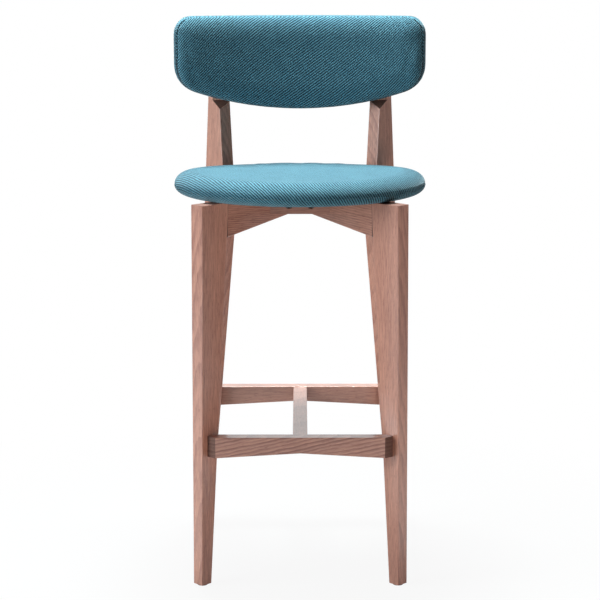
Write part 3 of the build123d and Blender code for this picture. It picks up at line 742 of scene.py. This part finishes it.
def speckle_group():
    """Fine grain and cloudiness for metal, plastic, plain cloth and end wood, from two colours."""
    group, nodes, entry, leave = new_group(
        "speckle",
        [
            ("Place", "NodeSocketVector", None),
            ("Size", "NodeSocketFloat", 300.0),
            ("First", "NodeSocketColor", (0.3, 0.3, 0.3, 1)),
            ("Second", "NodeSocketColor", (0.6, 0.6, 0.6, 1)),
            ("Least Roughness", "NodeSocketFloat", 0.3),
            ("Roughness Spread", "NodeSocketFloat", 0.2),
        ],
        [("Color", "NodeSocketColor"), ("Roughness", "NodeSocketFloat"), ("Height", "NodeSocketFloat")],
    )
    fine = nodes.noise(entry["Place"], entry["Size"], 4.0, 0.6)
    cloud = nodes.noise(entry["Place"], nodes.math("MULTIPLY", entry["Size"], 0.08), 2.0)
    both = nodes.math("MULTIPLY_ADD", fine, 0.6, nodes.math("MULTIPLY", cloud, 0.4))
    colour = nodes.mixed(nodes.between(both, 0.3, 0.7), entry["First"], entry["Second"])
    nodes.tree.links.new(colour, leave["Color"])
    spread = nodes.math("MULTIPLY", cloud, entry["Roughness Spread"])
    rough = nodes.math("ADD", spread, entry["Least Roughness"])
    nodes.tree.links.new(rough, leave["Roughness"])
    nodes.tree.links.new(fine, leave["Height"])
    return group


def new_finish(
    name,
    group,
    values,
    turn=None,
    shift=(0, 0, 0),
    length=None,
    weave=False,
    relief=0.0003,
    relief_strength=0.5,
):
    """A material from one node group; turn and shift lay its pattern, length finds its end grain."""
    finish = bpy.data.materials.new(name)
    finish.use_nodes = True
    nodes = Nodes(finish.node_tree)
    shader = finish.node_tree.nodes["Principled BSDF"]
    if weave:
        place = nodes.add("ShaderNodeAttribute", attribute_name="weave").outputs["Vector"]
    else:
        place = nodes.add("ShaderNodeTexCoord").outputs["Object"]
        mapping = nodes.add("ShaderNodeMapping", {"Vector": place})
        mapping.inputs["Location"].default_value = shift
        if turn is not None:
            mapping.inputs["Rotation"].default_value = turn.to_euler("XYZ")
        place = mapping.outputs[0]
    pattern = nodes.add("ShaderNodeGroup")
    pattern.node_tree = group
    finish.node_tree.links.new(place, pattern.inputs[0])
    if turn is not None:
        facing = nodes.add("ShaderNodeTexCoord").outputs["Normal"]
        turned = nodes.add("ShaderNodeMapping", {"Vector": facing}, vector_type="VECTOR")
        turned.inputs["Rotation"].default_value = (length or turn).to_euler("XYZ")
        finish.node_tree.links.new(turned.outputs[0], pattern.inputs["Facing"])
        finish.node_tree.links.new(pattern.outputs["Coat"], shader.inputs["Coat Weight"])
    for label, value in values.items():
        pattern.inputs[label].default_value = value
    bump = nodes.add("ShaderNodeBump", {"Strength": relief_strength, "Distance": relief})
    finish.node_tree.links.new(pattern.outputs["Height"], bump.inputs["Height"])
    finish.node_tree.links.new(pattern.outputs["Color"], shader.inputs["Base Color"])
    finish.node_tree.links.new(pattern.outputs["Roughness"], shader.inputs["Roughness"])
    finish.node_tree.links.new(bump.outputs[0], shader.inputs["Normal"])
    return finish, shader


def dress(piece, finish):
    """Puts one finish on a piece."""
    piece.data.materials.clear()
    piece.data.materials.append(finish)


stained = grain_group()
twill = twill_group()
speckle = speckle_group()

stain_dark = (0.226, 0.079, 0.052, 1)
stain_light = (0.612, 0.294, 0.202, 1)
stain_relief = 0.00025
stain_relief_strength = 0.35
lacquer_roughness = 0.14
lacquer_ior = 1.6


def stain(
    name,
    turn,
    shift,
    tone=1.0,
    joints=(-9, 9),
    length=None,
    spacing=0.0032,
    strength=0.35,
    waviness=0.008,
):
    """A stained board's finish, its grain turned to the board's length."""
    values = {
        "Line Spacing": spacing,
        "Line Strength": strength,
        "Waviness": waviness,
        "Joint Start": joints[0],
        "Joint End": joints[1],
        "Dark": [tone * part for part in stain_dark],
        "Light": [tone * part for part in stain_light],
    }
    finish, shader = new_finish(
        name,
        stained,
        values,
        turn,
        shift,
        length,
        relief=stain_relief,
        relief_strength=stain_relief_strength,
    )
    shader.inputs["Coat Roughness"].default_value = lacquer_roughness
    shader.inputs["Coat IOR"].default_value = lacquer_ior
    return finish


def upright_turn(quarter):
    """Turn that lays a leg board's width along X, for the diagonal it stands on."""
    return Matrix.Rotation(radians(45 * quarter), 3, "Z")


def level_turn(away):
    """Turn that brings a level board's length, at an angle from X, to Z."""
    return Matrix.Rotation(radians(-90), 3, "Y") @ Matrix.Rotation(radians(-away), 3, "Z")


leg_tone = 1.22
leg_line_strength = 0.26
level_line_strength = 0.22
legs = {
    "front_left_leg": (-1, (0.075, 0.021, 0.31)),
    "front_right_leg": (1, (-0.082, 0.034, 1.07)),
    "rear_left_leg": (1, (0.09, 0.027, 2.2)),
    "rear_right_leg": (-1, (-0.07, -0.03, 3.1)),
}
for name, (quarter, shift) in legs.items():
    finish = stain("stain " + name, upright_turn(quarter), shift, leg_tone, strength=leg_line_strength)
    dress(node_objects[name], finish)
rail_turn = 45
rail_ends = (-0.2030, 0.2087)
for name, side, shift in (
    ("cross_rail_left", 1, (0.03, 0.42, 0)),
    ("cross_rail_right", -1, (-0.025, 0.83, 0)),
):
    ends = rail_ends if side > 0 else (-rail_ends[1], -rail_ends[0])
    finish = stain("stain " + name, level_turn(side * rail_turn), shift, leg_tone, ends)
    dress(node_objects[name], finish)
level_boards = {
    "front_corner_block": (0, (0.02, 0.015, 2.4)),
    "rear_corner_block": (0, (0.03, -0.02, 3.6)),
    "footrest_centre_bar": (90, (-0.24, 0.03, 4.3)),
    "footrest_rear_bar": (0, (-0.26, -0.17, 5.2)),
}
for name, (away, shift) in level_boards.items():
    finish = stain("stain " + name, level_turn(away), shift, strength=level_line_strength)
    dress(node_objects[name], finish)
front_bar_slant = radians(14)
front_bar_finish = stain(
    "stain footrest_front_bar",
    Matrix.Rotation(front_bar_slant, 3, "Y") @ level_turn(0),
    (-0.30, 0.23, 6.0),
    length=level_turn(0),
    spacing=0.0068,
    strength=0.7,
    waviness=0.026,
)
dress(node_objects["footrest_front_bar"], front_bar_finish)
plug_finish = stain("stain back_screw_plugs", level_turn(90), (0.02, 0.01, 0))
dress(node_objects["back_screw_plugs"], plug_finish)


def speckled(name, size, first, second, least_roughness, relief=0.0003):
    """A plain finish with fine grain between two colours."""
    values = {"Size": size, "First": first, "Second": second, "Least Roughness": least_roughness}
    return new_finish(name, speckle, values, relief=relief)


dowel_finish, _ = speckled("dowel wood", 260.0, (0.42, 0.28, 0.16, 1), (0.62, 0.45, 0.28, 1), 0.5)
ply_finish, _ = speckled("plywood", 180.0, (0.40, 0.27, 0.15, 1), (0.60, 0.43, 0.26, 1), 0.55)
steel_finish, steel_shader = speckled(
    "zinc steel", 900.0, (0.42, 0.42, 0.43, 1), (0.62, 0.62, 0.63, 1), 0.24, relief=0.00005
)
steel_shader.inputs["Metallic"].default_value = 1.0
glide_finish, _ = speckled(
    "glide plastic", 700.0, (0.018, 0.017, 0.016, 1), (0.04, 0.038, 0.036, 1), 0.42, relief=0.0001
)
dust_finish, _ = speckled("dust cloth", 1600.0, (0.008, 0.008, 0.009, 1), (0.03, 0.03, 0.032, 1), 0.75)

finishes = {
    dowel_finish: ("rail_dowels", "footrest_dowels", "centre_bar_dowels"),
    ply_finish: ("seat_base", "back_panel"),
    steel_finish: (
        "block_screws",
        "back_screws",
        "seat_bolts",
        "seat_washers",
        "seat_tee_nuts",
        "seat_staples",
        "glide_nails",
    ),
    glide_finish: ("foot_glides",),
}
for finish, names in finishes.items():
    for name in names:
        dress(node_objects[name], finish)

# The valley colour doubles as painted shade, and the pale yarn as a painted highlight on the crests
twill_values = {
    "Pitch": rib_pitch,
    "Valley Yarn And Shade": (0.003, 0.013, 0.023, 1),
    "Yarn": (0.029, 0.121, 0.176, 1),
    "Pale Yarn And Highlight": (0.112, 0.296, 0.368, 1),
}
twill_relief = 0.0009
twill_finish, twill_shader = new_finish(
    "teal twill", twill, twill_values, weave=True, relief=twill_relief, relief_strength=1.0
)
twill_shader.inputs["Sheen Weight"].default_value = 0.28
twill_shader.inputs["Sheen Roughness"].default_value = 0.4
twill_shader.inputs["Sheen Tint"].default_value = (0.7, 0.92, 1.0, 1)
twill_shader.inputs["Specular IOR Level"].default_value = 0.3

seat_pad = make_seat_pad()
back_pad = make_back_pad()
back_piping = make_back_piping()
dust_sheet = make_dust_sheet()
for piece, finish, slot in (
    (seat_pad, twill_finish, "teal_fabric"),
    (back_pad, twill_finish, "teal_fabric"),
    (back_piping, twill_finish, "teal_fabric"),
    (dust_sheet, dust_finish, "dust_cloth"),
):
    dress(piece, finish)
    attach(piece, "root")

# Studio: soft light from all round, and what polished wood mirrors of the wall, the room and the floor
soft_light = 0.055
soft_tint = (1.0, 0.965, 0.94, 1)
white = (1, 1, 1, 1)
wall_mirrored = 1.0
room_mirrored = 0.25
wall_start = -0.25
wall_full = 0.35
floor_mirrored = 0.3
floor_size = 30
floor_paint = (0.5, 0.5, 0.5, 1)
floor_near = 0.35
floor_far = 1.1
floor_near_white = 0.92
camera_place = (0, -3.5547, 1.222)
camera_lens = 110
camera_sensor = 36
camera_tilt = radians(78.89)
camera_roll = radians(-0.06)


def area_lamp(name, place, aim, size, power, colour):
    """A soft square lamp that looks at a point."""
    lamp = bpy.data.lights.new(name, "AREA")
    lamp.shape = "SQUARE"
    lamp.size = size
    lamp.energy = power
    lamp.color = colour
    holder = bpy.data.objects.new(name, lamp)
    scene.collection.objects.link(holder)
    holder.location = place
    holder.rotation_euler = (Vector(aim) - Vector(place)).to_track_quat("-Z", "Y").to_euler()


def make_floor():
    """White studio floor that takes the stool's soft shadow and can be looked through from below."""
    bpy.ops.object.select_all(action="DESELECT")
    bpy.ops.mesh.primitive_plane_add(size=floor_size, location=(0, 0, 0))
    floor = bpy.context.object
    floor.name = "studio_floor"
    finish = bpy.data.materials.new("studio floor")
    finish.use_nodes = True
    finish.node_tree.nodes.clear()
    nodes = Nodes(finish.node_tree)
    paint = nodes.add("ShaderNodeBsdfDiffuse", {"Color": floor_paint}).outputs[0]
    glow = nodes.add("ShaderNodeEmission", {"Strength": 1.0}).outputs[0]
    clear = nodes.add("ShaderNodeBsdfTransparent").outputs[0]
    path = nodes.add("ShaderNodeLightPath").outputs
    place = nodes.add("ShaderNodeTexCoord").outputs["Object"]
    away = nodes.add("ShaderNodeVectorMath", {0: place}, operation="LENGTH").outputs["Value"]
    whiter = nodes.between(away, floor_near, floor_far, floor_near_white, 1.0)
    seen = nodes.math("MULTIPLY", path["Is Camera Ray"], whiter)
    share = nodes.math("MULTIPLY_ADD", path["Is Glossy Ray"], floor_mirrored, seen)
    lit = nodes.add("ShaderNodeMixShader", {0: share, 1: paint, 2: glow}).outputs[0]
    below = nodes.add("ShaderNodeNewGeometry").outputs["Backfacing"]
    both = nodes.add("ShaderNodeMixShader", {0: below, 1: lit, 2: clear}).outputs[0]
    nodes.add("ShaderNodeOutputMaterial", {"Surface": both})
    dress(floor, finish)


def make_studio_air():
    """White to the camera, a white wall behind the stool in reflections, and soft light on the stool."""
    world = bpy.data.worlds.new("studio")
    scene.world = world
    world.use_nodes = True
    world.node_tree.nodes.clear()
    nodes = Nodes(world.node_tree)
    path = nodes.add("ShaderNodeLightPath").outputs
    seen = nodes.add("ShaderNodeBackground", {"Color": white, "Strength": 1.0}).outputs[0]
    soft = nodes.add("ShaderNodeBackground", {"Color": soft_tint, "Strength": soft_light}).outputs[0]
    toward = nodes.add("ShaderNodeTexCoord").outputs["Generated"]
    behind = nodes.add("ShaderNodeSeparateXYZ", {0: toward}).outputs[1]
    wall = nodes.between(behind, wall_start, wall_full, room_mirrored, wall_mirrored)
    mirrored = nodes.add("ShaderNodeBackground", {"Color": white, "Strength": wall}).outputs[0]
    air = nodes.add("ShaderNodeMixShader", {0: path["Is Glossy Ray"], 1: soft, 2: mirrored}).outputs[0]
    air = nodes.add("ShaderNodeMixShader", {0: path["Is Camera Ray"], 1: air, 2: seen}).outputs[0]
    nodes.add("ShaderNodeOutputWorld", {"Surface": air})


def make_camera():
    """Camera in front of the stool, a little above the seat."""
    lens = bpy.data.cameras.new("camera")
    lens.lens = camera_lens
    lens.sensor_width = camera_sensor
    camera = bpy.data.objects.new("camera", lens)
    scene.collection.objects.link(camera)
    camera.location = camera_place
    tilt = Matrix.Rotation(camera_tilt, 4, "X")
    camera.rotation_euler = (tilt @ Matrix.Rotation(camera_roll, 4, "Z")).to_euler()
    scene.camera = camera


for name in ("Cube", "Light", "Camera"):
    if name in bpy.data.objects:
        bpy.data.objects.remove(bpy.data.objects[name])
make_camera()
make_floor()
make_studio_air()
area_lamp("window_lamp", (-3.0, -1.2, 1.5), (0, 0, 0.7), 1.8, 94, (0.92, 1.03, 1.09))
area_lamp("sky_lamp", (-0.1, 0.30, 2.5), (0, 0, 0.6), 0.7, 110, (0.92, 1.0, 1.0))
area_lamp("front_lamp", (1.1, -1.7, 0.12), (0, 0, 0.3), 0.6, 9.5, (1.18, 1.0, 0.94))

scene.view_settings.view_transform = "Standard"
